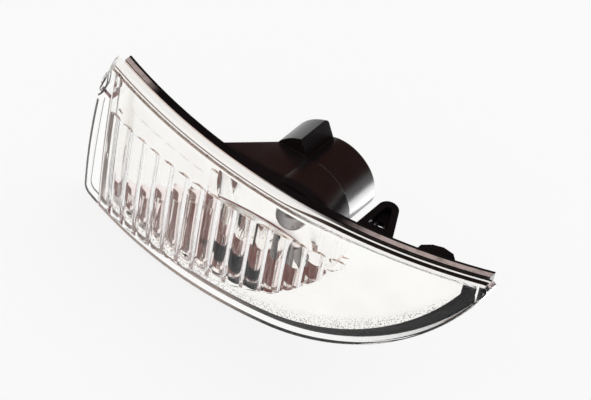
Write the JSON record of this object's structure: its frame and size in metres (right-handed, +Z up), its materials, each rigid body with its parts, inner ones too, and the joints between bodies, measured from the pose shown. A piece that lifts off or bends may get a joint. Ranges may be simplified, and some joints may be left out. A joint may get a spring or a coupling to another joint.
{
  "type": "vehicle indicator lamp",
  "caption": "Door-mirror turn indicator lamp: clear fluted lens over a bright reflector, black housing with a round bulb neck, screw lug and sealed bulb holder.",
  "frame": {"origin": "on the bulb axis where the neck leaves the back of the housing", "axes": "+X along the lamp towards its pointed tip, +Y backwards along the neck (the lens faces -Y), +Z up towards the straight top edge"},
  "size_m": [0.1419, 0.0399, 0.0712],
  "materials": {
    "clear_lens": "clear polished moulding",
    "sealant": "cured bead",
    "bright_coating": "metallised plastic, bright",
    "black_plastic": "moulded, satin",
    "silvered_glass": "silvered glass",
    "lead_wire": "drawn wire",
    "holder_plastic": "moulded",
    "contact_brass": "stamped strip",
    "seal_rubber": "moulded ring"
  },
  "bodies": {
    "root": {"lens": "clear_lens", "lens_seal": "sealant", "reflector": "bright_coating", "housing": "black_plastic", "bulb": "silvered_glass", "bulb_lead_upper": "lead_wire", "bulb_lead_lower": "lead_wire", "bulb_holder": "holder_plastic", "contact_upper": "contact_brass", "contact_lower": "contact_brass", "holder_seal": "seal_rubber"}
  },
  "joints": []
}
